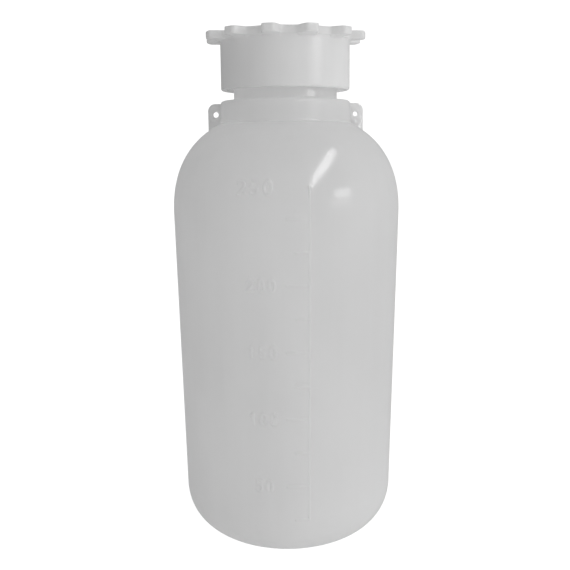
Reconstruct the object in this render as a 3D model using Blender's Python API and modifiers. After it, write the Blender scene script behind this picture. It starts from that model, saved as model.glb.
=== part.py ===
"""Graduated wide-neck bottle, 250 ml, with a lugged screw cap and a plug seal.

The bottle is one blow moulding of natural high-density polyethylene: a round body that
narrows a little towards the base, a collar under the neck with two eyelets for a seal
wire, and an outside thread. The cap screws over the neck, and its plug seal closes the
mouth. Metres, +Z up. The origin is the middle of the ring that the bottle stands on.
"""
import math

import bmesh
import bpy
from mathutils import Matrix, Vector

COLLECTION = "wide_neck_bottle"
CUTTERS = "cutters"
SEGMENTS = 48  # facets round every turned shape
MERGE = 0.00001

# body
BODY_R = 0.0320  # widest, where the shoulder starts
FOOT_R = 0.0301  # where the base corner starts, as the body tapers down
SHOULDER_Z = 0.0955
SHOULDER_RUN = 0.02715
SHOULDER_RISE = 0.02695
CORNER_RUN = 0.0207
CORNER_RISE = 0.0164
SOFTNESS = 2.26  # exponent of the shoulder's and the corner's curve; 2 is an ellipse
WALL = 0.00125
RING_IN_R = 0.0095
RING_OUT_R = 0.0125
RING_SINK = 0.00014  # how far the corner's curve is cut off to make the standing ring
PUSH_UP = 0.0018
PUSH_SIDE_RUN = 0.0020
PUSH_SIDE_RISE = 0.75 * PUSH_UP
PUSH_FLAT_R = 0.0038
SHOULDER_STEPS = 14
CORNER_STEPS = 12
NEAR = 0.0001  # points closer than this to the next straight are left out

# collar and eyelets
COLLAR_R = 0.0182
COLLAR_TOP_R = 0.01645
COLLAR_LOW_Z = 0.1204
COLLAR_EDGE_Z = 0.1250
COLLAR_EDGE_RUN = 0.0005
COLLAR_EDGE_RISE = 0.0004
COLLAR_TOP_Z = 0.1261
COLLAR_WALL = 0.0016
COLLAR_FOOT = 0.0006  # width of the step from the shoulder's curve to the collar
COLLAR_IN_TOP_Z = 0.1237
EYELET_REACH = 0.02177
EYELET_ROOT = 0.0172
EYELET_TOP_Z = 0.1254
EYELET_LOW_Z = 0.1172  # buried in the shoulder's wall
EYELET_ROOT_Z = 0.1196
EYELET_CORNER = 0.0020
EYELET_THICK = 0.0018
EYELET_HOLE_X = 0.0196
EYELET_HOLE_Z = 0.1224
EYELET_HOLE_R = 0.00075

# neck and thread, 32 mm over the thread with a 4 mm lead
NECK_R = 0.01443
NECK_BORE_R = 0.01293
NECK_BORE_LOW_Z = 0.1251
MOUTH_Z = 0.1412
LIP = 0.0004
LEAD = 0.0040
THREAD_TURNS = 1.75
THREAD_LOW_Z = 0.1315
THREAD_BURIED = 0.0004
NECK_CREST_R = 0.0157
NECK_THREAD_FOOT = 0.0022
NECK_THREAD_CREST = 0.0010
FADE_TURNS = 0.08
FADE_START = 0.02  # share of the height that a thread starts with

# cap
CAP_LOW_Z = 0.1289
CAP_TOP_Z = 0.1444
CAP_R = 0.0180
CAP_BORE_R = 0.0164
CAP_PANEL = 0.0016
CAP_EDGE = 0.0006
CAP_TOP_EDGE = 0.0004
CAP_LEAD_IN = 0.0002
CAP_CREST_R = 0.0148
CAP_THREAD_TURNS = 1.5
CAP_THREAD_FOOT = 0.0020
CAP_THREAD_CREST = 0.0009
BEAD_R = 0.01575
BEAD_LOW_Z = 0.1404
BEAD_HIGH_Z = 0.1411
BEAD_SLOPE = 0.0003
LUGS = 12
LUG_TURN = math.radians(-71.2)  # the first lug, counted from +X towards +Y
LUG_TIP_R = 0.02234
LUG_TIP_HALF = 0.0017
LUG_FOOT_HALF = 0.0025
LUG_SINK = 0.0002  # how far the lugs' top lies under the cap's top
LUG_THICK = 0.0022
LUG_ROUND = 0.0009
LUG_BURIED = 0.0003
LUG_RING_R = 0.0170

# plug seal
SEAL_R = 0.01605
SEAL_GAP = 0.0003
SEAL_FLANGE = 0.0010
PLUG_R = 0.0126
PLUG_TIP_R = 0.0123
PLUG_WALL = 0.0010
PLUG_DEPTH = 0.0045


def clear_scene():
    """Removes whatever the file starts with."""
    for thing in list(bpy.data.objects):
        bpy.data.objects.remove(thing, do_unlink=True)
    for old in list(bpy.data.collections):
        bpy.data.collections.remove(old)


def collection(name):
    made = bpy.data.collections.new(name)
    bpy.context.scene.collection.children.link(made)
    return made


def material(name, colour, roughness, transmission):
    made = bpy.data.materials.new(name)
    made.use_nodes = True
    shader = made.node_tree.nodes["Principled BSDF"]
    shader.inputs["Base Color"].default_value = (*colour, 1.0)
    shader.inputs["Roughness"].default_value = roughness
    shader.inputs["Metallic"].default_value = 0.0
    shader.inputs["Transmission Weight"].default_value = transmission
    return made


def new_object(name, mesh, group, finish=None):
    made = bpy.data.objects.new(name, mesh)
    group.objects.link(made)
    if finish:
        mesh.materials.append(finish)
    return made


def hide_cutter(cutter):
    cutter.hide_render = True
    cutter.display_type = "WIRE"


def turned(name, outline, group, finish):
    """A solid of revolution from (r, z) points that run down its outer side."""
    mesh = bpy.data.meshes.new(name)
    edges = [(i, i + 1) for i in range(len(outline) - 1)]
    mesh.from_pydata([(r, 0.0, z) for r, z in outline], edges, [])
    made = new_object(name, mesh, group, finish)
    screw = made.modifiers.new("turn", "SCREW")
    screw.axis = "Z"
    screw.angle = math.tau
    screw.steps = SEGMENTS
    screw.render_steps = SEGMENTS
    screw.use_merge_vertices = True
    screw.merge_threshold = MERGE
    screw.use_smooth_shade = True
    return made


def join_in(target, cutter):
    """Unites the cutter with the target by a Boolean modifier."""
    hide_cutter(cutter)
    union = target.modifiers.new(cutter.name, "BOOLEAN")
    union.operation = "UNION"
    union.solver = "EXACT"
    union.object = cutter


def arc(centre, radius, start, end, steps):
    """Points of an arc, angles in degrees, both ends included."""
    points = []
    for i in range(steps + 1):
        angle = math.radians(start + (end - start) * i / steps)
        points.append((centre[0] + radius * math.cos(angle), centre[1] + radius * math.sin(angle)))
    return points


def soft_quarter(centre, run, rise, steps):
    """A quarter of a super-ellipse, from its side (run, 0) to its end (0, rise)."""
    points = []
    for i in range(steps + 1):
        angle = math.pi / 2 * i / steps
        along = max(math.cos(angle), 0.0) ** (2 / SOFTNESS)
        up = math.sin(angle) ** (2 / SOFTNESS)
        points.append((centre[0] + run * along, centre[1] + rise * up))
    return points


def shoulder(inset, stop_r, steps):
    """The shoulder from the widest place up to where its radius is stop_r."""
    centre = (BODY_R - SHOULDER_RUN, SHOULDER_Z)
    curve = soft_quarter(centre, SHOULDER_RUN - inset, SHOULDER_RISE - inset, steps)
    return [point for point in curve if point[0] > stop_r]


def base_corner(inset, steps):
    """The base corner from the body's foot down towards the standing ring."""
    centre = (FOOT_R - CORNER_RUN, CORNER_RISE)
    return soft_quarter(centre, CORNER_RUN - inset, -(CORNER_RISE - inset), steps)


def bottle_outside():
    """From the mouth down to the middle of the underside."""
    points = [(NECK_R - LIP, MOUTH_Z), (NECK_R, MOUTH_Z - LIP), (NECK_R, COLLAR_TOP_Z)]
    points += [(COLLAR_TOP_R, COLLAR_TOP_Z)]
    points += [(COLLAR_R - COLLAR_EDGE_RUN, COLLAR_EDGE_Z + COLLAR_EDGE_RISE)]
    points += [(COLLAR_R, COLLAR_EDGE_Z), (COLLAR_R, COLLAR_LOW_Z)]
    points += reversed(shoulder(0.0, COLLAR_R + COLLAR_FOOT, SHOULDER_STEPS))
    corner = [(r, z - RING_SINK) for r, z in base_corner(0.0, CORNER_STEPS)]
    points += [(r, z) for r, z in corner if z > NEAR]
    points += [(RING_OUT_R, 0.0), (RING_IN_R, 0.0)]
    points += [(RING_IN_R - PUSH_SIDE_RUN, PUSH_SIDE_RISE)]
    points += [(PUSH_FLAT_R, PUSH_UP), (0.0, PUSH_UP)]
    return points


def bottle_inside():
    """From the middle of the floor up to the mouth."""
    collar_in_r = COLLAR_R - COLLAR_WALL
    points = [(0.0, PUSH_UP + WALL), (PUSH_FLAT_R, PUSH_UP + WALL)]
    points += [(RING_IN_R - PUSH_SIDE_RUN, PUSH_SIDE_RISE + WALL)]
    points += [(RING_IN_R, WALL), (RING_OUT_R, WALL)]
    corner = [(r, z - RING_SINK) for r, z in base_corner(WALL, CORNER_STEPS - 4)]
    points += [(r, z) for r, z in reversed(corner) if z > WALL + NEAR]
    points += shoulder(WALL, collar_in_r + COLLAR_FOOT, SHOULDER_STEPS - 4)
    points += [(collar_in_r, COLLAR_LOW_Z + COLLAR_FOOT), (collar_in_r, COLLAR_IN_TOP_Z)]
    points += [(NECK_BORE_R, NECK_BORE_LOW_Z), (NECK_BORE_R, MOUTH_Z)]
    return points


def helical_rib(name, group, low_z, turns, foot_r, crest_r, foot, crest):
    """A right-hand thread of trapezoid section that fades into the wall at both ends."""
    steps = round(SEGMENTS * turns)
    fade = SEGMENTS * FADE_TURNS
    frame = bmesh.new()
    rings = []
    for i in range(steps + 1):
        angle = math.tau * i / SEGMENTS
        share = min(1.0, FADE_START + min(i, steps - i) / fade)
        reach = foot_r + (crest_r - foot_r) * share
        z = low_z + LEAD * i / SEGMENTS
        section = ((foot_r, -foot / 2), (reach, -crest / 2), (reach, crest / 2), (foot_r, foot / 2))
        spin = Matrix.Rotation(angle, 3, "Z")
        rings.append([frame.verts.new(spin @ Vector((r, 0.0, z + dz))) for r, dz in section])
    for one, two in zip(rings, rings[1:]):
        for a in range(4):
            b = (a + 1) % 4
            frame.faces.new((one[a], one[b], two[b], two[a]))
    frame.faces.new(rings[0])
    frame.faces.new(rings[-1])
    bmesh.ops.recalc_face_normals(frame, faces=frame.faces)
    mesh = bpy.data.meshes.new(name)
    frame.to_mesh(mesh)
    frame.free()
    return new_object(name, mesh, group)


def flat_outline(name, outlines, thickness, placing, group):
    """A solid plate from closed outlines in a plane, outer edges and holes alike."""
    flat = bpy.data.curves.new(name, "CURVE")
    flat.dimensions = "2D"
    flat.fill_mode = "BOTH"
    flat.extrude = thickness / 2
    for outline in outlines:
        line = flat.splines.new("POLY")
        line.points.add(len(outline) - 1)
        for point, (u, v) in zip(line.points, outline):
            point.co = (u, v, 0.0, 1.0)
        line.use_cyclic_u = True
    guide = bpy.data.objects.new(name + "_outline", flat)
    group.objects.link(guide)
    guide.matrix_world = placing
    bpy.context.view_layer.update()
    evaluated = guide.evaluated_get(bpy.context.evaluated_depsgraph_get())
    mesh = bpy.data.meshes.new_from_object(evaluated)
    welded = bmesh.new()
    welded.from_mesh(mesh)
    bmesh.ops.remove_doubles(welded, verts=welded.verts, dist=MERGE)
    bmesh.ops.recalc_face_normals(welded, faces=welded.faces)
    welded.to_mesh(mesh)
    welded.free()
    plate = new_object(name, mesh, group)
    plate.matrix_world = placing
    bpy.data.objects.remove(guide, do_unlink=True)
    return plate


def eyelet_outlines():
    """The right eyelet and its hole, and their mirror images."""
    corner = (EYELET_REACH - EYELET_CORNER, EYELET_TOP_Z - EYELET_CORNER)
    edge = [(EYELET_ROOT, EYELET_ROOT_Z), (EYELET_REACH, EYELET_LOW_Z)]
    edge += arc(corner, EYELET_CORNER, 0, 90, 5) + [(EYELET_ROOT, EYELET_TOP_Z)]
    hole = arc((EYELET_HOLE_X, EYELET_HOLE_Z), EYELET_HOLE_R, 0, 330, 11)
    mirrored = [[(-x, z) for x, z in outline] for outline in (edge, hole)]
    return [edge, hole] + mirrored


def lug_outline():
    """The ring of lugs seen from above: tapered teeth with round tips."""
    outline = []
    valley = CAP_R - LUG_BURIED
    for i in range(LUGS):
        turn = Matrix.Rotation(LUG_TURN + math.tau * i / LUGS, 2)
        left = arc((LUG_TIP_R - LUG_ROUND, -LUG_TIP_HALF + LUG_ROUND), LUG_ROUND, -80, 0, 3)
        right = arc((LUG_TIP_R - LUG_ROUND, LUG_TIP_HALF - LUG_ROUND), LUG_ROUND, 0, 80, 3)
        tooth = [(valley, -LUG_FOOT_HALF)] + left + right + [(valley, LUG_FOOT_HALF)]
        outline += [tuple(turn @ Vector(point)) for point in tooth]
        middle = turn @ Matrix.Rotation(math.pi / LUGS, 2)
        outline.append(tuple(middle @ Vector((valley, 0.0))))
    return outline


def make_bottle(parts, cutters):
    natural = material("natural_polyethylene", (0.78, 0.79, 0.78), 0.42, 0.25)
    outline = bottle_inside() + bottle_outside()
    body = turned("bottle_body", outline, parts, natural)
    upright = Matrix.Rotation(math.pi / 2, 4, "X")
    thread = helical_rib("neck_thread", cutters, THREAD_LOW_Z, THREAD_TURNS,
                         NECK_R - THREAD_BURIED, NECK_CREST_R,
                         NECK_THREAD_FOOT, NECK_THREAD_CREST)
    eyelets = flat_outline("eyelets", eyelet_outlines(), EYELET_THICK, upright, cutters)
    join_in(body, thread)
    join_in(body, eyelets)
    return body


def cap_outline():
    inner_top = CAP_TOP_Z - CAP_PANEL
    points = [(0.0, CAP_TOP_Z), (CAP_R - CAP_TOP_EDGE, CAP_TOP_Z), (CAP_R, CAP_TOP_Z - CAP_TOP_EDGE)]
    points += arc((CAP_R - CAP_EDGE, CAP_LOW_Z + CAP_EDGE), CAP_EDGE, 0, -90, 3)
    points += [(CAP_BORE_R + CAP_LEAD_IN, CAP_LOW_Z), (CAP_BORE_R, CAP_LOW_Z + CAP_LEAD_IN)]
    points += [(CAP_BORE_R, BEAD_LOW_Z - BEAD_SLOPE), (BEAD_R, BEAD_LOW_Z)]
    points += [(BEAD_R, BEAD_HIGH_Z - BEAD_SLOPE), (CAP_BORE_R, BEAD_HIGH_Z)]
    points += [(CAP_BORE_R, inner_top), (0.0, inner_top)]
    return points


def make_cap(parts, cutters):
    natural = material("natural_polyethylene_cap", (0.74, 0.75, 0.75), 0.38, 0.15)
    cap = turned("screw_cap", cap_outline(), parts, natural)
    thread = helical_rib("cap_thread", cutters, THREAD_LOW_Z - LEAD / 4, CAP_THREAD_TURNS,
                         CAP_BORE_R + THREAD_BURIED, CAP_CREST_R,
                         CAP_THREAD_FOOT, CAP_THREAD_CREST)
    thread.rotation_euler.z = math.pi / 2
    hole = arc((0.0, 0.0), LUG_RING_R, 0, 360 * (1 - 1 / SEGMENTS), SEGMENTS - 1)
    middle_z = CAP_TOP_Z - LUG_SINK - LUG_THICK / 2
    placing = Matrix.Translation((0.0, 0.0, middle_z))
    lugs = flat_outline("lugs", [lug_outline(), hole], LUG_THICK, placing, cutters)
    join_in(cap, thread)
    join_in(cap, lugs)
    return cap


def make_seal(parts):
    soft = material("soft_polyethylene", (0.82, 0.83, 0.82), 0.5, 0.1)
    top = CAP_TOP_Z - CAP_PANEL - SEAL_GAP
    under = top - SEAL_FLANGE
    tip = under - PLUG_DEPTH
    points = [(0.0, top), (SEAL_R, top), (SEAL_R, under), (PLUG_R, under)]
    points += [(PLUG_TIP_R, tip), (PLUG_TIP_R - PLUG_WALL, tip), (PLUG_R - PLUG_WALL, under)]
    points += [(0.0, under)]
    return turned("plug_seal", points, parts, soft)


def hang_on_joints(cap, seal):
    """The seal lifts along the bottle's axis, and the cap turns on the seal."""
    lift = bpy.data.objects.new("closure_axis", None)
    cap.users_collection[0].objects.link(lift)
    cap.parent = lift
    seal.parent = lift


def main():
    clear_scene()
    parts = collection(COLLECTION)
    cutters = collection(CUTTERS)
    make_bottle(parts, cutters)
    cap = make_cap(parts, cutters)
    seal = make_seal(parts)
    hang_on_joints(cap, seal)
    bpy.context.view_layer.update()


main()
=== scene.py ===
import math

import bmesh
import bpy
import numpy as np
from mathutils import Matrix, Vector


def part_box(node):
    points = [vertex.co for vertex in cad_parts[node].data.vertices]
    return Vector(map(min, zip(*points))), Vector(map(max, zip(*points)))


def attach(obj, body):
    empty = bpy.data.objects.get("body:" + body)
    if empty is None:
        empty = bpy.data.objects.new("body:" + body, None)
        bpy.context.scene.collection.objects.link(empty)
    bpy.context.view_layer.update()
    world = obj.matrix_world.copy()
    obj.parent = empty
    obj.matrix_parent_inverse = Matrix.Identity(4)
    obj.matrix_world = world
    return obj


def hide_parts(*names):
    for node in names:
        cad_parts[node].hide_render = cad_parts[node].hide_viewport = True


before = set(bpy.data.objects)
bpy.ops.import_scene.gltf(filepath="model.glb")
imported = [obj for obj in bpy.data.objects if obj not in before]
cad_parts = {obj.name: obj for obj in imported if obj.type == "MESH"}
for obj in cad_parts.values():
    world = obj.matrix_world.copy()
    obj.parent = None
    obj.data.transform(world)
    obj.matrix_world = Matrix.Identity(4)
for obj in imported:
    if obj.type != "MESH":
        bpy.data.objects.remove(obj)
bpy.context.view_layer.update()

# Metres throughout. The CAD model's box, and the boxes of its nodes, give the driving sizes.
# Angles run from the front (-Y) towards +X, so the numerals read from left to right.
BODY_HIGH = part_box("bottle_body")[1]
CAP_LOW, CAP_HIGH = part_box("screw_cap")
SEAL_LOW, SEAL_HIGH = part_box("plug_seal")

# the body: a tapered wall between a soft shoulder and a soft base corner
BODY_R = BODY_HIGH[0]
FOOT_R = 0.0301
SHOULDER_Z = 0.0955
SHOULDER_RUN = 0.02715
SHOULDER_RISE = 0.02695
CORNER_RUN = 0.0207
CORNER_RISE = 0.0164
SOFTNESS = 2.26
WALL = 0.00125
FLOOR = 0.0020

# the underside: a standing ring round a shallow push-up, with the mould's pinch-off line across it
RING_IN_R = 0.0095
RING_OUT_R = 0.0125
RING_SINK = 0.00014
PUSH_UP = 0.0018
PINCH_HALF = 0.00015
PINCH_FLANK = 0.0005
PINCH_RELIEF = 0.00025

# the ridge that the mould's two halves leave on the sides
PARTING_HALF = 0.00006
PARTING_FLANK = 0.00022
PARTING_RELIEF = 0.00009
PARTING_FADE = 0.002
PARTING_END = 0.2

# collar and neck
COLLAR_R = 0.0182
COLLAR_LOW_Z = 0.1204
COLLAR_TOP_Z = 0.1261
COLLAR_ROUND = 0.0010
COLLAR_FOOT = 0.0009
COLLAR_WALL = 0.0016
NECK_R = 0.01443
NECK_FILLET = 0.0006
BORE_R = 0.01293
LIP_ROUND = 0.0006
MOUTH_Z = BODY_HIGH[2]

# the thread, shared by the neck and the cap
LEAD = 0.0040
NECK_TURNS = 1.75
CAP_TURNS = 1.5
THREAD_LOW_Z = 0.1315
NECK_CREST = 0.00125
CAP_CREST = 0.00155
THREAD_FOOT = 0.0010
THREAD_LAND = 0.00045
FADE_TURNS = 0.10
NECK_START = math.pi / 2
CAP_START = math.pi

# the raised scale on the front, with its volumes in cubic metres
RELIEF = 0.00022
STROKE = 0.00026
MARK_STROKE = STROKE * 0.8
FLANK = 0.00016
SCALE_ANGLE = math.radians(10.6)
LABEL_ANGLE = math.radians(-12.2)
NOMINAL_ANGLE = math.radians(-14.9)
MARK_STEP = 25e-6
FULL = 250e-6
LONG_MARK = 0.0058
SHORT_MARK = 0.0035
LABEL_HEIGHT = 0.0031
NOMINAL_HEIGHT = 0.0038
FIGURE_PITCH = 0.92
FIGURE_WIDTH = 0.50
NOMINAL_Z = 0.1033

# spacing of the bottle's rows, and columns as (start, end, step) in degrees
FINE_ROW = 0.0002
LEAST_ROW = 0.00012
SHOULDER_ROW = 0.0007
WALL_ROW = 0.002
CORNER_ROW = 0.0009
INNER_ROW = 0.0016
ROUND_COLUMNS = (-180, 180, 3)
SCALE_COLUMNS = (-27, 13, 0.42)
LEFT_COLUMNS = ((-94, -86, 0.5), (-90.9, -89, 0.15))
RIGHT_COLUMNS = ((86, 94, 0.5), (89.1, 91, 0.15))
SEAL_COLUMNS = (-180, 180, 2.5)

# eyelets; the right hole is a little smaller than the left one
EYELET_REACH = 0.02177
EYELET_ROOT = 0.0172
EYELET_TOP_Z = 0.1254
EYELET_LOW_Z = 0.1172
EYELET_ROOT_Z = 0.1196
EYELET_CORNER = 0.0020
EYELET_THICK = 0.0018
EYELET_EDGE = 0.0004
EYELET_HOLE_AT = (0.0196, 0.1224)
EYELET_HOLE_R = {-1: 0.00078, 1: 0.00066}

# cap and its lugs
CAP_R = 0.0180
CAP_BORE_R = 0.0164
CAP_PANEL = 0.0016
CAP_EDGE = 0.00035
CAP_HEM = 0.0006
BEAD_R = 0.01575
BEAD_Z = 0.1408
LUGS = 12
LUG_TURN = math.radians(18.8)
LUG_TIP_R = 0.02234
LUG_TIP_HALF = 0.00185
LUG_TIP_ROUND = 0.0010
LUG_FOOT_HALF = 0.0024
LUG_FOOT_ROUND = 0.0011
LUG_THICK = 0.00212
LUG_UNDER_ROUND = 0.00045
LUG_FILLET = 0.0007
VALLEY = 0.00022

# the panel from its gate dimple outwards: radius, and depth below the top
PANEL_PROFILE = ((0.0, 0.0002), (0.0005, 0.00022), (0.0009, 0.0005), (0.0017, 0.0005),
                 (0.0022, 0.0001), (0.0025, 0.0), (0.008, 0.0), (0.0140, 0.0), (0.0168, 0.0))

# plug seal
SEAL_DISC = 0.0010
SEAL_DISH = 0.0003
SEAL_ROUND = 0.0003
PLUG_R = 0.0126
PLUG_WALL = 0.0010

SHARP_ANGLE = math.radians(38.0)

# plastic: noise scales in features per metre, and how far each noise is stretched along x, y, z
CLOUD_SCALE, CLOUD_STRETCH = 45.0, (1.0, 1.0, 0.5)
FLOW_SCALE, FLOW_STRETCH = 300.0, (1.0, 1.0, 0.02)
SCRATCH_SCALE, SCRATCH_STRETCH = 1300.0, (1.0, 0.35, 0.06)
PATCH_SCALE = 80.0
GRAIN_SCALE = 700.0
LIGHTEST = 0.98
PLASTIC_IOR = 1.53

# the studio floor, which curves up into a wall
STAGE_R = 1.6
STAGE_FLAT_R = 0.3
STAGE_BEND = 0.5
STAGE_WALL_Z = 2.2
STAGE_SEGMENTS = 96
STAGE_GLOW = 0.95

# light: lamps are placed by azimuth and elevation in degrees, and distance from LIGHT_CENTRE
LIGHT_CENTRE = Vector((0.0, 0.0, 0.105))
WORLD_LEVEL = 0.543
WORLD_LEAN = (0.263, -0.098, -0.056)
WINDOW_FROM = (58, 12.5, 0.9)
WINDOW_SIZE = (0.28, 0.11)
WINDOW_POWER = 0.68
SILL_FROM = (54, 5.0, 0.9)
SILL_SIZE = (0.36, 0.14)
SILL_POWER = 0.30
STRIP_START = (24, 19.6, 0.8)
STRIP_END = (89, 55.5, 0.8)
STRIP_WIDTH = 0.10
STRIP_POWER = 2.55
LIGHT_BOUNCES = 32

# camera
CAMERA_AT = (0.0, -0.2420, 0.1129)
CAMERA_TILT = math.radians(90.0 - 9.22)
CAMERA_ROLL = math.radians(-0.46)
SENSOR = 36.0
LENS = 53.1
SHIFT_X = -0.0033
CLIP_START = 0.01


# ---------------------------------------------------------------- turned surfaces

def arc(centre_r, centre_z, radius, start, end, steps):
    """Points of an arc in the (r, z) plane, angles in degrees."""
    turns = np.radians(np.linspace(start, end, steps + 1))
    return np.column_stack((centre_r + radius * np.cos(turns), centre_z + radius * np.sin(turns)))


def upright(radius, levels):
    """Points of a straight stretch of a profile, at one radius."""
    return np.column_stack((np.full(len(levels), radius), levels))


def soft_quarter(centre_r, centre_z, run, rise, steps):
    """A quarter of a super-ellipse from its side to its end."""
    turns = np.linspace(0.0, math.pi / 2, steps + 1)
    along = np.clip(np.cos(turns), 0.0, 1.0) ** (2 / SOFTNESS)
    up = np.sin(turns) ** (2 / SOFTNESS)
    return np.column_stack((centre_r + run * along, centre_z + rise * up))


def shoulder(inset, steps):
    """The shoulder's line, or the one inset from it, from the wall up."""
    centre_r = BODY_R - SHOULDER_RUN
    return soft_quarter(centre_r, SHOULDER_Z, SHOULDER_RUN - inset, SHOULDER_RISE - inset, steps)


def base_corner(inset, steps):
    """The base corner's line, or the one inset from it, from the wall down."""
    centre_r = FOOT_R - CORNER_RUN
    return soft_quarter(centre_r, CORNER_RISE, CORNER_RUN - inset, inset - CORNER_RISE, steps)


def lengths_along(points):
    """How far along the line each of its points lies."""
    steps = np.linalg.norm(np.diff(points, axis=0), axis=1)
    return np.concatenate(([0.0], np.cumsum(steps)))


def by_length(points, spacing):
    """The same line with points at the given spacing along it."""
    along = lengths_along(points)
    at = np.linspace(0.0, along[-1], max(2, math.ceil(along[-1] / spacing) + 1))
    return np.column_stack([np.interp(at, along, points[:, axis]) for axis in (0, 1)])


def row_normals(rows):
    """Unit normals of a profile that runs down its outer side."""
    along = np.gradient(rows, axis=0)
    normal = np.column_stack((-along[:, 1], along[:, 0]))
    return normal / np.maximum(np.linalg.norm(normal, axis=1, keepdims=True), 1e-12)


def spaced(*spans):
    """Sorted angles from (start, end, step) spans in degrees, without near repeats."""
    degrees = np.concatenate([np.arange(start, end, step) for start, end, step in spans])
    degrees = np.unique(np.round(degrees, 3))
    keep = np.concatenate(([True], np.diff(degrees) > 0.1))
    return np.radians(degrees[keep])


def turned_mesh(name, radii, heights, angles):
    """A closed mesh from a grid of radii and heights, whose first and last rows lie on the axis."""
    count, columns = radii.shape
    x = radii[1:-1] * np.sin(angles)
    y = -radii[1:-1] * np.cos(angles)
    ring = np.stack((x, y, heights[1:-1]), axis=2).reshape(-1, 3)
    ends = [(0.0, 0.0, heights[0, 0]), (0.0, 0.0, heights[-1, 0])]
    index = np.arange((count - 2) * columns).reshape(count - 2, columns)
    beside = np.roll(index, -1, axis=1)
    quads = np.stack((index[:-1], index[1:], beside[1:], beside[:-1]), axis=2).reshape(-1, 4)
    first, last = len(ring), len(ring) + 1
    fans = [(first, a, b) for a, b in zip(index[0], beside[0])]
    fans += [(last, b, a) for a, b in zip(index[-1], beside[-1])]
    mesh = bpy.data.meshes.new(name)
    faces = quads.tolist() + [tuple(map(int, fan)) for fan in fans]
    mesh.from_pydata(ring.tolist() + ends, [], faces)
    mesh.update()
    facing = bmesh.new()
    facing.from_mesh(mesh)
    bmesh.ops.recalc_face_normals(facing, faces=facing.faces)
    facing.to_mesh(mesh)
    facing.free()
    return mesh


def turned_piece(name, rows, angles, offset):
    """A turned piece whose surface is pushed out along its profile's normals by the offset."""
    normal = row_normals(rows)
    radii = rows[:, :1] + normal[:, :1] * offset
    heights = rows[:, 1:] + normal[:, 1:] * offset
    return add_piece(name, turned_mesh(name, np.maximum(radii, 0.0), heights, angles))


def add_piece(name, mesh):
    """Puts a mesh in the scene, shaded smooth up to the sharp angle."""
    piece = bpy.data.objects.new(name, mesh)
    bpy.context.scene.collection.objects.link(piece)
    mesh.shade_smooth()
    mesh.set_sharp_from_angle(angle=SHARP_ANGLE)
    return piece


def smooth_step(values):
    """Rises smoothly from 0 to 1 as the values do, and is held there beyond."""
    held = np.clip(values, 0.0, 1.0)
    return held * held * (3.0 - 2.0 * held)


def ridge(distance, half, flank):
    """1 within half of the line, falling smoothly to 0 over the flank."""
    return smooth_step((half + flank - distance) / flank)


def thread_relief(angles, heights, low_z, start, crest, turns):
    """Height of a right-hand thread that begins at angle start and height low_z."""
    turned = np.mod(angles[None, :] - start, math.tau) / math.tau
    relief = np.zeros((len(heights), len(angles)))
    for lap in range(math.ceil(turns) + 1):
        at = turned + lap
        fade = smooth_step(np.minimum(at, turns - at) / FADE_TURNS)
        away = np.abs(heights[:, None] - low_z - LEAD * at)
        rib = ridge(away, THREAD_LAND, THREAD_FOOT - THREAD_LAND)
        relief = np.maximum(relief, crest * rib * fade)
    return relief


# ---------------------------------------------------------------- the raised scale

def oval(centre_x, centre_y, half_x, half_y, start, end, steps=20):
    """Points of an upright ellipse, or a stretch of it, angles in degrees."""
    turns = np.radians(np.linspace(start, end, steps + 1))
    return np.column_stack((centre_x + half_x * np.cos(turns), centre_y + half_y * np.sin(turns)))


def numeral(figure):
    """The stroke of a plain generic numeral, in a cell 1 wide and 1 tall: 0, 1 and 2, or else 5."""
    if figure == "0":
        return oval(0.50, 0.50, 0.47, 0.47, 0, 360, 32)
    if figure == "1":
        return np.array([(0.20, 0.76), (0.55, 0.97), (0.55, 0.03)])
    if figure == "2":
        tail = np.array([(0.04, 0.03), (0.97, 0.03)])
        return np.vstack((oval(0.50, 0.69, 0.44, 0.28, 165, -40), tail))
    top = np.array([(0.92, 0.97), (0.20, 0.97), (0.12, 0.54)])
    return np.vstack((top, oval(0.47, 0.33, 0.48, 0.30, 130, -145)))


def distance_to(line, across, up):
    """Distance of every point of a grid to a line of points."""
    nearest = np.full(across.shape, np.inf)
    for (x0, y0), (x1, y1) in zip(line, line[1:]):
        run, rise = x1 - x0, y1 - y0
        share = ((across - x0) * run + (up - y0) * rise) / max(run * run + rise * rise, 1e-12)
        share = np.clip(share, 0.0, 1.0)
        away = np.hypot(across - x0 - share * run, up - y0 - share * rise)
        nearest = np.minimum(nearest, away)
    return nearest


def add_label(relief, text, across, up, height):
    """Raises a number of the given height, centred on the grid's own zero."""
    for place, figure in enumerate(text):
        centre = (place - (len(text) - 1) / 2) * FIGURE_PITCH * height
        corner = (centre - FIGURE_WIDTH * height / 2, -height / 2)
        line = numeral(figure) * (FIGURE_WIDTH * height, height) + corner
        np.maximum(relief, ridge(distance_to(line, across, up), STROKE, FLANK), out=relief)


def marked_heights():
    """Where the liquid stands at each mark in millilitres, from the volume inside the body."""
    inner = np.vstack((base_corner(WALL, 60)[::-1] + (0.0, FLOOR - WALL), shoulder(WALL, 60)))
    inner = by_length(inner, 0.001)
    r, z = inner[:, 0], inner[:, 1]
    slices = math.pi / 3 * (r[1:] ** 2 + r[1:] * r[:-1] + r[:-1] ** 2) * np.diff(z)
    volume = np.concatenate(([0.0], np.cumsum(slices)))
    marks = np.arange(MARK_STEP, FULL + MARK_STEP / 2, MARK_STEP)
    return {round(mark * 1e6): float(np.interp(mark, volume, z)) for mark in marks}


MARKS = marked_heights()
LOWEST_MARK_Z = min(MARKS.values())


def long_mark(millilitres):
    return millilitres % 50 == 0


def numbered(millilitres):
    """The long marks carry numbers, but the nominal volume stands higher, on the shoulder."""
    return long_mark(millilitres) and millilitres < max(MARKS)


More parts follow.
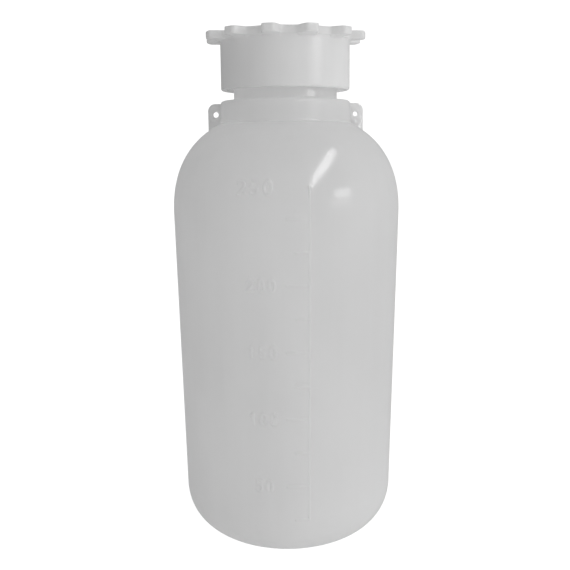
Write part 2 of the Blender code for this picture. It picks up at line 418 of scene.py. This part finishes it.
def scale_relief(rows, angles):
    """The raised scale line, its marks and the numbers, as a share of the relief's height."""
    down = lengths_along(rows)

    def along_at(z):
        return float(np.interp(-z, -rows[:, 1], down))

    def across_from(angle):
        return rows[:, :1] * (angles[None, :] - angle)

    def up_from(z, across):
        return np.broadcast_to((along_at(z) - down)[:, None], across.shape)

    across = across_from(SCALE_ANGLE)
    top, low = along_at(NOMINAL_Z), along_at(LOWEST_MARK_Z)
    beyond = np.maximum(np.maximum(top - down, down - low), 0.0)
    relief = ridge(np.hypot(across, beyond[:, None]), MARK_STROKE, FLANK)
    for volume, z in MARKS.items():
        length = LONG_MARK if long_mark(volume) else SHORT_MARK
        outside = np.maximum(np.maximum(across, -length - across), 0.0)
        away = np.hypot(outside, (down - along_at(z))[:, None])
        relief = np.maximum(relief, ridge(away, MARK_STROKE, FLANK))
    across = across_from(LABEL_ANGLE)
    for volume, z in MARKS.items():
        if numbered(volume):
            add_label(relief, str(volume), across, up_from(z, across), LABEL_HEIGHT)
    across = across_from(NOMINAL_ANGLE)
    add_label(relief, str(max(MARKS)), across, up_from(NOMINAL_Z, across), NOMINAL_HEIGHT)
    return relief


# ---------------------------------------------------------------- bottle

def inner_rows():
    """From the middle of the floor up to the mouth."""
    floor = [(0.0, PUSH_UP + FLOOR), (RING_IN_R * 0.4, PUSH_UP + FLOOR),
             (RING_IN_R - 0.0018, PUSH_UP * 0.7 + FLOOR), (RING_IN_R + 0.0008, FLOOR + 0.0001)]
    corner = base_corner(WALL, 30)[::-1] + (0.0, FLOOR - WALL)
    corner = by_length(corner[corner[:, 0] > RING_OUT_R], INNER_ROW)
    middle = [(BODY_R - WALL - 0.0009, 0.055)]
    inside = COLLAR_R - COLLAR_WALL
    above = shoulder(WALL, 60)
    above = by_length(above[above[:, 0] > inside], INNER_ROW)
    neck = [(inside, COLLAR_LOW_Z + 0.0012), (inside, COLLAR_TOP_Z - 0.0026),
            (BORE_R + 0.0010, COLLAR_TOP_Z - 0.0016), (BORE_R, COLLAR_TOP_Z - 0.0004),
            (BORE_R, 0.131), (BORE_R, 0.136)]
    return np.vstack((floor, corner, middle, above, neck))


def neck_rows():
    """From the mouth's lip down over the thread and the collar to the shoulder."""
    thread_top = THREAD_LOW_Z + LEAD * NECK_TURNS + THREAD_FOOT
    threaded = np.arange(thread_top, THREAD_LOW_Z - THREAD_FOOT, -FINE_ROW)
    collar = np.linspace(COLLAR_TOP_Z - COLLAR_ROUND - 0.0006, COLLAR_LOW_Z + COLLAR_FOOT, 4)
    return np.vstack((
        arc(BORE_R + LIP_ROUND, MOUTH_Z - LIP_ROUND, LIP_ROUND, 180, 90, 4),
        arc(NECK_R - LIP_ROUND, MOUTH_Z - LIP_ROUND, LIP_ROUND, 90, 0, 4),
        upright(NECK_R, threaded),
        arc(NECK_R + NECK_FILLET, COLLAR_TOP_Z + NECK_FILLET, NECK_FILLET, 180, 270, 4),
        arc(COLLAR_R - COLLAR_ROUND, COLLAR_TOP_Z - COLLAR_ROUND, COLLAR_ROUND, 90, 0, 7),
        upright(COLLAR_R, collar),
        arc(COLLAR_R + COLLAR_FOOT, COLLAR_LOW_Z + COLLAR_FOOT * 0.55, COLLAR_FOOT, 180, 224, 4),
    ))


def shoulder_rows():
    """The shoulder from the collar's foot down, with fine rows where the nominal volume stands."""
    above = shoulder(0.0, 120)[::-1]
    above = by_length(above[(above[:, 0] > COLLAR_R) & (above[:, 1] > SHOULDER_Z)], SHOULDER_ROW)
    label = np.abs(above[:, 1] - NOMINAL_Z) < NOMINAL_HEIGHT * 0.75
    low_end, high_end = above[label][-1], above[label][0]
    near = shoulder(0.0, 400)[::-1]
    near = near[(near[:, 1] < high_end[1]) & (near[:, 1] > low_end[1])]
    fine = by_length(near, FINE_ROW)
    before = above[above[:, 1] > fine[0, 1] + FINE_ROW]
    after = above[above[:, 1] < fine[-1, 1] - FINE_ROW]
    return np.vstack((before, fine, after))


def straight_rows():
    """The tapered wall from the shoulder to the base corner, with fine rows at the marks."""
    levels = [SHOULDER_Z, CORNER_RISE]
    for volume, z in MARKS.items():
        reach = LABEL_HEIGHT * 0.62 if numbered(volume) else 0.0007
        levels += list(np.arange(z - reach, z + reach, FINE_ROW))
    levels += list(np.arange(CORNER_RISE, SHOULDER_Z, WALL_ROW))
    levels = np.array(sorted(levels, reverse=True))
    levels = levels[(levels <= SHOULDER_Z) & (levels >= CORNER_RISE)]
    levels = levels[np.concatenate(([True], np.diff(levels) < -LEAST_ROW))]
    taper = (levels - CORNER_RISE) / (SHOULDER_Z - CORNER_RISE)
    return np.column_stack((FOOT_R + (BODY_R - FOOT_R) * taper, levels))


def corner_rows():
    """The base corner down to the standing ring, with fine rows down to the lowest mark."""
    corner = base_corner(0.0, 200)[1:] - (0.0, RING_SINK)
    corner = corner[(corner[:, 0] > RING_OUT_R + 0.0004) & (corner[:, 1] > 0.0)]
    fine_end = LOWEST_MARK_Z - 0.0008
    upper = corner[corner[:, 1] > fine_end]
    lower = corner[corner[:, 1] <= fine_end]
    return np.vstack((by_length(upper, FINE_ROW), by_length(lower, CORNER_ROW)[1:]))


def underside_rows():
    """The standing ring and the push-up, to the middle of the underside."""
    ring = [(RING_OUT_R + 0.0002, 0.00004), (RING_OUT_R - 0.0004, 0.0), (RING_IN_R + 0.0003, 0.0)]
    rise = [(RING_IN_R - 0.0006, 0.0003), (RING_IN_R - 0.0012, 0.0008)]
    rise.append((RING_IN_R - 0.0022, PUSH_UP * 0.8))
    dome = [(RING_IN_R * share, PUSH_UP * (1.0 - 0.12 * share)) for share in (0.6, 0.4, 0.2)]
    return np.array(ring + rise + dome + [(0.0, PUSH_UP)])


def neck_relief(neck, angles):
    """The thread, on the neck's straight part only."""
    relief = thread_relief(angles, neck[:, 1], THREAD_LOW_Z, NECK_START, NECK_CREST, NECK_TURNS)
    relief[np.abs(neck[:, 0] - NECK_R) > 1e-6] = 0.0
    return relief


def parting_relief(wall, angles):
    """The ridge that the mould leaves on both sides, which ends just above the standing ring."""
    beside = np.abs(np.abs(angles) - math.pi / 2)
    parting = ridge(wall[:, :1] * beside[None, :], PARTING_HALF, PARTING_FLANK)
    return PARTING_RELIEF * parting * smooth_step(wall[:, 1:] / PARTING_FADE - PARTING_END)


def pinch_relief(under, angles):
    """The pinch-off line across the push-up, in the parting plane."""
    pinch = ridge(under[:, :1] * np.abs(np.cos(angles))[None, :], PINCH_HALF, PINCH_FLANK)
    raised = np.clip(under[:, 1:] / PUSH_UP, 0.0, 1.0)
    return PINCH_RELIEF * pinch * raised


def make_bottle():
    angles = spaced(ROUND_COLUMNS, SCALE_COLUMNS, *LEFT_COLUMNS, *RIGHT_COLUMNS)
    inside, neck, under = inner_rows(), neck_rows(), underside_rows()
    wall = np.vstack((shoulder_rows(), straight_rows(), corner_rows()))
    offset = np.vstack((
        np.zeros((len(inside), len(angles))),
        neck_relief(neck, angles),
        RELIEF * scale_relief(wall, angles) + parting_relief(wall, angles),
        pinch_relief(under[:-1], angles),
        np.zeros((1, len(angles))),
    ))
    bottle = turned_piece("bottle", np.vstack((inside, neck, wall, under)), angles, offset)
    for side in (1, -1):
        unite(bottle, eyelet(side))
    return bottle


def eyelet(side):
    """A flat plate with a round hole and rounded edges, standing in the parting plane."""
    corner = arc(EYELET_REACH - EYELET_CORNER, EYELET_TOP_Z - EYELET_CORNER, EYELET_CORNER, 0, 90, 8)
    edge = np.vstack(([(EYELET_ROOT, EYELET_ROOT_Z), (EYELET_REACH, EYELET_LOW_Z)], corner,
                      [(EYELET_ROOT, EYELET_TOP_Z)]))
    hole = arc(*EYELET_HOLE_AT, EYELET_HOLE_R[side], 0, 345, 23)
    flat = bpy.data.curves.new("eyelet_outline", "CURVE")
    flat.dimensions = "2D"
    flat.fill_mode = "BOTH"
    flat.extrude = EYELET_THICK / 2 - EYELET_EDGE
    flat.bevel_depth = EYELET_EDGE
    flat.bevel_resolution = 3
    flat.offset = -EYELET_EDGE
    for outline in (edge, hole):
        line = flat.splines.new("POLY")
        line.points.add(len(outline) - 1)
        for point, (x, z) in zip(line.points, outline):
            point.co = (side * x, z, 0.0, 1.0)
        line.use_cyclic_u = True
    guide = bpy.data.objects.new("eyelet_outline", flat)
    bpy.context.scene.collection.objects.link(guide)
    mesh = bpy.data.meshes.new_from_object(guide.evaluated_get(bpy.context.evaluated_depsgraph_get()))
    bpy.data.objects.remove(guide, do_unlink=True)
    mesh.transform(Matrix.Rotation(math.pi / 2, 4, "X"))
    welded = bmesh.new()
    welded.from_mesh(mesh)
    bmesh.ops.remove_doubles(welded, verts=welded.verts, dist=1e-6)
    bmesh.ops.recalc_face_normals(welded, faces=welded.faces)
    welded.to_mesh(mesh)
    welded.free()
    return add_piece("eyelet_plate", mesh)


def unite(target, tool):
    """Unites a piece with the target, applies the result and removes the tool."""
    union = target.modifiers.new("unite", "BOOLEAN")
    union.operation = "UNION"
    union.solver = "EXACT"
    union.object = tool
    result = target.evaluated_get(bpy.context.evaluated_depsgraph_get())
    mesh = bpy.data.meshes.new_from_object(result)
    target.modifiers.clear()
    target.data = mesh
    bpy.data.objects.remove(tool, do_unlink=True)


# ---------------------------------------------------------------- cap

def lug_outline():
    """Radius and angle round one lug, from the middle of the valley before it to the next."""
    valley_r = CAP_R + VALLEY
    tip_y = LUG_TIP_HALF - LUG_TIP_ROUND
    foot_x = valley_r + LUG_FOOT_ROUND * 0.8
    foot_y = LUG_FOOT_HALF + LUG_FOOT_ROUND
    points = np.vstack((
        [(LUG_TIP_R, 0.0), (LUG_TIP_R, tip_y * 0.6)],
        arc(LUG_TIP_R - LUG_TIP_ROUND, tip_y, LUG_TIP_ROUND, 0, 78, 5),
        arc(foot_x, foot_y, LUG_FOOT_ROUND, -78, -172, 5),
    ))
    angle = np.arctan2(points[:, 1], points[:, 0])
    radius = np.hypot(points[:, 0], points[:, 1])
    last = angle[-1]
    valley = last + (math.pi / LUGS - last) * np.array([0.35, 0.7, 1.0])
    angle = np.concatenate((angle, valley))
    radius = np.concatenate((radius, np.full(len(valley), valley_r)))
    angle = np.concatenate((-angle[:0:-1], angle[:-1]))
    radius = np.concatenate((radius[:0:-1], radius[:-1]))
    return radius, angle


def round_off(centre_r, centre_z, radius, start, end, steps):
    """Rings of an arc in the (r, z) plane, whose centre and radius may vary round the cap."""
    turns = np.radians(np.linspace(start, end, steps + 1))
    return [(centre_r + radius * math.cos(turn), centre_z + radius * math.sin(turn)) for turn in turns]


def cap_outside(outline, top, low):
    """Rings from the middle of the panel over the lugs and down the skirt."""
    stand = outline - CAP_R
    lug_low = top - LUG_THICK
    under = np.minimum(LUG_UNDER_ROUND, 0.45 * stand)
    fillet = np.minimum(LUG_FILLET, 0.5 * stand)
    rings = [(r, top - depth) for r, depth in PANEL_PROFILE]
    rings += round_off(outline - CAP_EDGE, top - CAP_EDGE, CAP_EDGE, 90, 0, 4)
    rings += round_off(outline - under, lug_low + under, under, 0, -90, 4)
    rings += round_off(CAP_R + fillet, lug_low - fillet, fillet, 90, 180, 4)
    rings += [(CAP_R, z) for z in np.linspace(lug_low - 0.0012, low + 0.0012, 5)]
    rings += round_off(CAP_R - CAP_HEM, low + CAP_HEM, CAP_HEM, 0, -90, 5)
    return rings


def cap_inside(angles, top, low):
    """Rings from the skirt's mouth up past the thread and the seal's bead to the panel."""
    inner_top = top - CAP_PANEL
    levels = np.arange(low + 0.0004, BEAD_Z - 0.0008, FINE_ROW)
    relief = thread_relief(angles, levels, THREAD_LOW_Z - LEAD / 4, CAP_START, CAP_CREST, CAP_TURNS)
    rings = [(CAP_BORE_R + 0.0003, low), (CAP_BORE_R + 0.00008, low + 0.0001)]
    rings.append((CAP_BORE_R, low + 0.0003))
    rings += [(CAP_BORE_R - raised, z) for z, raised in zip(levels, relief)]
    rings += [(BEAD_R + 0.0002, BEAD_Z - 0.0005), (BEAD_R, BEAD_Z - 0.0003), (BEAD_R, BEAD_Z)]
    rings += [(BEAD_R + 0.0002, BEAD_Z + 0.0002), (CAP_BORE_R, BEAD_Z + 0.0003)]
    rings += [(CAP_BORE_R, inner_top - 0.0002), (CAP_BORE_R - 0.0002, inner_top)]
    rings += [(r, inner_top) for r in (0.010, 0.004, 0.0)]
    return rings


def make_cap():
    radius, angle = lug_outline()
    turns = LUG_TURN + math.tau * np.arange(LUGS) / LUGS
    angles = np.concatenate([angle + turn for turn in turns])
    outline = np.tile(radius, LUGS)
    top, low = CAP_HIGH[2], CAP_LOW[2]
    rings = cap_outside(outline, top, low) + cap_inside(angles, top, low)
    radii = np.array([np.broadcast_to(r, angles.shape) for r, z in rings])
    heights = np.array([np.broadcast_to(z, angles.shape) for r, z in rings])
    return add_piece("cap", turned_mesh("cap", radii, heights, angles))


# ---------------------------------------------------------------- plug seal

def make_seal():
    """A soft disc, dished on top, with a short hollow plug under it."""
    rim, top, tip = SEAL_HIGH[0], SEAL_HIGH[2], SEAL_LOW[2]
    under = top - SEAL_DISC
    bore = PLUG_R - PLUG_WALL
    rows = np.vstack((
        [(0.0, top - SEAL_DISH), (0.0110, top - SEAL_DISH), (0.0114, top)],
        arc(rim - SEAL_ROUND, top - SEAL_ROUND, SEAL_ROUND, 90, 0, 4),
        arc(rim - SEAL_ROUND, under + SEAL_ROUND, SEAL_ROUND, 0, -90, 4),
        [(0.0139, under), (0.0131, under), (PLUG_R + 0.0001, under - 0.0002)],
        [(PLUG_R, under - 0.0008), (PLUG_R, under - 0.0020)],
        arc(PLUG_R - 0.0005, tip + 0.0005, SEAL_ROUND, 0, -90, 4),
        arc(bore + 0.0003, tip + 0.0005, SEAL_ROUND, 270, 180, 4),
        [(bore, under - 0.0004), (bore - 0.0004, under), (0.005, under), (0.0, under)],
    ))
    angles = spaced(SEAL_COLUMNS)
    return turned_piece("seal", rows, angles, np.zeros((len(rows), len(angles))))


# ---------------------------------------------------------------- materials

class Nodes:
    """Short calls for the nodes of one material."""

    def __init__(self, name):
        self.material = bpy.data.materials.new(name)
        self.material.use_nodes = True
        self.tree = self.material.node_tree
        self.shader = self.tree.nodes["Principled BSDF"]
        self.place = self.add("ShaderNodeTexCoord").outputs["Object"]

    def add(self, kind, settings=(), **inputs):
        made = self.tree.nodes.new(kind)
        for key, value in dict(settings).items():
            setattr(made, key, value)
        for key, value in inputs.items():
            self.put(made.inputs[key.replace("_", " ")], value)
        return made

    def put(self, socket, value):
        """Links a node's output to the socket, or sets the socket to a plain value."""
        if isinstance(value, bpy.types.NodeSocket):
            self.tree.links.new(value, socket)
        else:
            socket.default_value = value

    def noise(self, scale, detail=2.0, stretch=(1.0, 1.0, 1.0), roughness=0.5):
        moved = self.add("ShaderNodeMapping", Vector=self.place, Scale=stretch)
        made = self.add("ShaderNodeTexNoise", Vector=moved.outputs[0], Scale=scale, Detail=detail,
                        Roughness=roughness)
        return made.outputs["Fac"]

    def span(self, value, low, high, to_low, to_high):
        """Maps low to high smoothly onto to_low to to_high."""
        made = self.add("ShaderNodeMapRange", {"interpolation_type": "SMOOTHSTEP"}, Value=value)
        made.inputs["From Min"].default_value = low
        made.inputs["From Max"].default_value = high
        made.inputs["To Min"].default_value = to_low
        made.inputs["To Max"].default_value = to_high
        return made.outputs[0]

    def multiply(self, first, second):
        return self.math("MULTIPLY", first, second)

    def math(self, operation, first, second):
        made = self.add("ShaderNodeMath", {"operation": operation})
        self.put(made.inputs[0], first)
        self.put(made.inputs[1], second)
        return made.outputs[0]

    def mix(self, share, first, second):
        made = self.add("ShaderNodeMix", {"data_type": "RGBA"})
        self.put(made.inputs[0], share)
        self.put(made.inputs[6], first)
        self.put(made.inputs[7], second)
        return made.outputs[2]

    def bump(self, height, distance, before=None):
        made = self.add("ShaderNodeBump", Height=height, Distance=distance, Strength=1.0)
        if before is not None:
            self.put(made.inputs["Normal"], before)
        return made.outputs[0]


def grey(value):
    return (value, value, value, 1.0)


def natural_plastic(name, shade, gloss, grain, through, shine):
    """Milky polyethylene: cloudy, with flow lines, a satin grain, scuffs and rubbed edges.

    shade is its grey, gloss its roughness, grain the bump's height in metres, through the share of
    light that passes through it, and shine its specular level.
    """
    nodes = Nodes(name)
    bright = grey(min(shade * 1.05, LIGHTEST))
    cloud = nodes.noise(CLOUD_SCALE, 3.0, CLOUD_STRETCH)
    flow = nodes.noise(FLOW_SCALE, 3.0, FLOW_STRETCH, 0.6)
    body = nodes.mix(nodes.span(cloud, 0.3, 0.7, 0.0, 1.0), grey(shade * 0.985), grey(shade * 1.015))
    body = nodes.mix(nodes.span(flow, 0.3, 0.7, 0.0, 0.4), body, grey(shade * 1.03))
    patch = nodes.noise(PATCH_SCALE, 4.0, roughness=0.65)
    scratch = nodes.noise(SCRATCH_SCALE, 2.0, SCRATCH_STRETCH, 0.7)
    worn = nodes.multiply(nodes.span(patch, 0.5, 0.7, 0.0, 1.0), nodes.span(scratch, 0.5, 0.7, 0.0, 1.0))
    body = nodes.mix(nodes.multiply(worn, 0.3), body, bright)
    edge = nodes.add("ShaderNodeNewGeometry").outputs["Pointiness"]
    rubbed = nodes.span(edge, 0.52, 0.60, 0.0, 0.3)
    body = nodes.mix(rubbed, body, bright)
    nodes.put(nodes.shader.inputs["Base Color"], body)
    rough = nodes.span(patch, 0.3, 0.7, gloss - 0.02, gloss + 0.03)
    rough = nodes.math("ADD", rough, nodes.multiply(worn, 0.08))
    nodes.put(nodes.shader.inputs["Roughness"], rough)
    normal = nodes.bump(nodes.noise(GRAIN_SCALE), grain)
    normal = nodes.bump(flow, grain * 0.6, normal)
    normal = nodes.bump(worn, grain * 0.3, normal)
    nodes.put(nodes.shader.inputs["Normal"], normal)
    nodes.shader.inputs["IOR"].default_value = PLASTIC_IOR
    nodes.shader.inputs["Specular IOR Level"].default_value = shine
    glow = nodes.add("ShaderNodeBsdfTranslucent", Color=body)
    mixed = nodes.add("ShaderNodeMixShader", Fac=through)
    nodes.put(mixed.inputs[1], nodes.shader.outputs[0])
    nodes.put(mixed.inputs[2], glow.outputs[0])
    nodes.put(nodes.tree.nodes["Material Output"].inputs["Surface"], mixed.outputs[0])
    return nodes.material


def stage_white():
    """A pale floor that glows a little, as an overexposed studio table does."""
    nodes = Nodes("studio_white")
    speck = nodes.span(nodes.noise(14.0, 2.0), 0.3, 0.7, 0.0, 1.0)
    nodes.put(nodes.shader.inputs["Base Color"], nodes.mix(speck, grey(0.30), grey(0.32)))
    nodes.shader.inputs["Roughness"].default_value = 0.9
    nodes.shader.inputs["Specular IOR Level"].default_value = 0.0
    nodes.shader.inputs["Emission Color"].default_value = grey(1.0)
    nodes.shader.inputs["Emission Strength"].default_value = STAGE_GLOW
    return nodes.material


# ---------------------------------------------------------------- stage, lights and camera

def make_stage():
    """A round floor that curves up into a wall, seen by the camera and not by the bottle."""
    bend_r = STAGE_R - STAGE_BEND
    line = [(0.0, 0.0), (STAGE_FLAT_R, 0.0), (bend_r, 0.0)]
    line += [tuple(point) for point in arc(bend_r, STAGE_BEND, STAGE_BEND, -90, 0, 12)[1:]]
    line.append((STAGE_R, STAGE_WALL_Z))
    made = bmesh.new()
    chain = [made.verts.new((r, 0.0, z)) for r, z in line]
    edges = [made.edges.new(pair) for pair in zip(chain, chain[1:])]
    bmesh.ops.spin(made, geom=chain + edges, cent=(0.0, 0.0, 0.0), axis=(0.0, 0.0, 1.0),
                   angle=math.tau, steps=STAGE_SEGMENTS, use_merge=True)
    bmesh.ops.remove_doubles(made, verts=made.verts, dist=1e-5)
    bmesh.ops.recalc_face_normals(made, faces=made.faces)
    mesh = bpy.data.meshes.new("studio_floor")
    made.to_mesh(mesh)
    made.free()
    mesh.shade_smooth()
    mesh.materials.append(stage_white())
    floor = bpy.data.objects.new("studio_floor", mesh)
    bpy.context.scene.collection.objects.link(floor)
    floor.visible_diffuse = False
    floor.visible_glossy = False
    floor.visible_transmission = False
    floor.visible_shadow = False


def toward(azimuth, elevation, distance):
    """A lamp's place round the light centre, with the azimuth counted from the front to the right."""
    a, e = math.radians(azimuth), math.radians(elevation)
    step = Vector((math.sin(a) * math.cos(e), -math.cos(a) * math.cos(e), math.sin(e)))
    return LIGHT_CENTRE + distance * step


def softbox(name, place, size, power):
    """An area lamp that faces the light centre and isn't seen by the camera."""
    data = bpy.data.lights.new(name, "AREA")
    data.shape = "RECTANGLE"
    data.size, data.size_y = size
    data.energy = power
    lamp = bpy.data.objects.new(name, data)
    lamp.location = place
    lamp.rotation_euler = (LIGHT_CENTRE - place).to_track_quat("-Z", "Y").to_matrix().to_euler()
    lamp.visible_camera = False
    bpy.context.scene.collection.objects.link(lamp)
    return lamp


def make_strip():
    """The long lamp behind the streak on the shoulder, which shows in reflections only."""
    start, end = toward(*STRIP_START), toward(*STRIP_END)
    middle = (start + end) / 2
    strip = softbox("strip", middle, ((end - start).length, STRIP_WIDTH), STRIP_POWER)
    strip.data.shape = "ELLIPSE"
    strip.visible_diffuse = False
    back = (middle - LIGHT_CENTRE).normalized()
    along = (end - start).normalized()
    up = back.cross(along).normalized()
    strip.rotation_euler = Matrix((along, up, back)).transposed().to_euler()


def make_world():
    """Soft light from all round, strongest from the right and weakest from the left."""
    world = bpy.data.worlds.new("studio")
    world.use_nodes = True
    tree = world.node_tree
    place = tree.nodes.new("ShaderNodeTexCoord").outputs["Generated"]
    lean = tree.nodes.new("ShaderNodeVectorMath")
    lean.operation = "DOT_PRODUCT"
    lean.inputs[1].default_value = WORLD_LEAN
    tree.links.new(place, lean.inputs[0])
    level = tree.nodes.new("ShaderNodeMath")
    level.inputs[1].default_value = WORLD_LEVEL
    tree.links.new(lean.outputs["Value"], level.inputs[0])
    background = tree.nodes["Background"]
    background.inputs["Color"].default_value = grey(1.0)
    tree.links.new(level.outputs[0], background.inputs["Strength"])
    bpy.context.scene.world = world


def make_camera():
    data = bpy.data.cameras.new("camera")
    data.sensor_width = SENSOR
    data.lens = LENS
    data.shift_x = SHIFT_X
    data.clip_start = CLIP_START
    camera = bpy.data.objects.new("camera", data)
    camera.location = CAMERA_AT
    tilt = Matrix.Rotation(CAMERA_TILT, 4, "X")
    roll = Matrix.Rotation(CAMERA_ROLL, 4, "Z")
    camera.rotation_euler = (tilt @ roll).to_euler()
    bpy.context.scene.collection.objects.link(camera)
    bpy.context.scene.camera = camera


def set_light_paths():
    """Enough bounces for the light in the narrow gaps between the cap, the seal and the neck."""
    cycles = bpy.context.scene.cycles
    cycles.use_denoising = True
    cycles.max_bounces = LIGHT_BOUNCES
    cycles.diffuse_bounces = LIGHT_BOUNCES
    cycles.transmission_bounces = LIGHT_BOUNCES


def finish_piece(piece, material, body, node):
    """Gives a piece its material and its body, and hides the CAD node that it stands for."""
    piece.data.materials.clear()
    piece.data.materials.append(material)
    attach(piece, body)
    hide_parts(node)


def main():
    bottle, cap, seal = make_bottle(), make_cap(), make_seal()
    bottle_look = natural_plastic("natural_bottle", shade=0.98, gloss=0.13, grain=0.000003,
                                  through=0.76, shine=1.0)
    cap_look = natural_plastic("natural_cap", shade=0.975, gloss=0.17, grain=0.000002,
                               through=0.45, shine=0.40)
    seal_look = natural_plastic("soft_seal", shade=0.99, gloss=0.38, grain=0.000003,
                                through=0.90, shine=0.8)
    finish_piece(bottle, bottle_look, "bottle", "bottle_body")
    finish_piece(cap, cap_look, "cap", "screw_cap")
    finish_piece(seal, seal_look, "seal", "plug_seal")
    make_stage()
    softbox("window", toward(*WINDOW_FROM), WINDOW_SIZE, WINDOW_POWER)
    softbox("window_sill", toward(*SILL_FROM), SILL_SIZE, SILL_POWER)
    make_strip()
    make_world()
    make_camera()
    bpy.context.scene.view_settings.view_transform = "Standard"
    set_light_paths()


main()
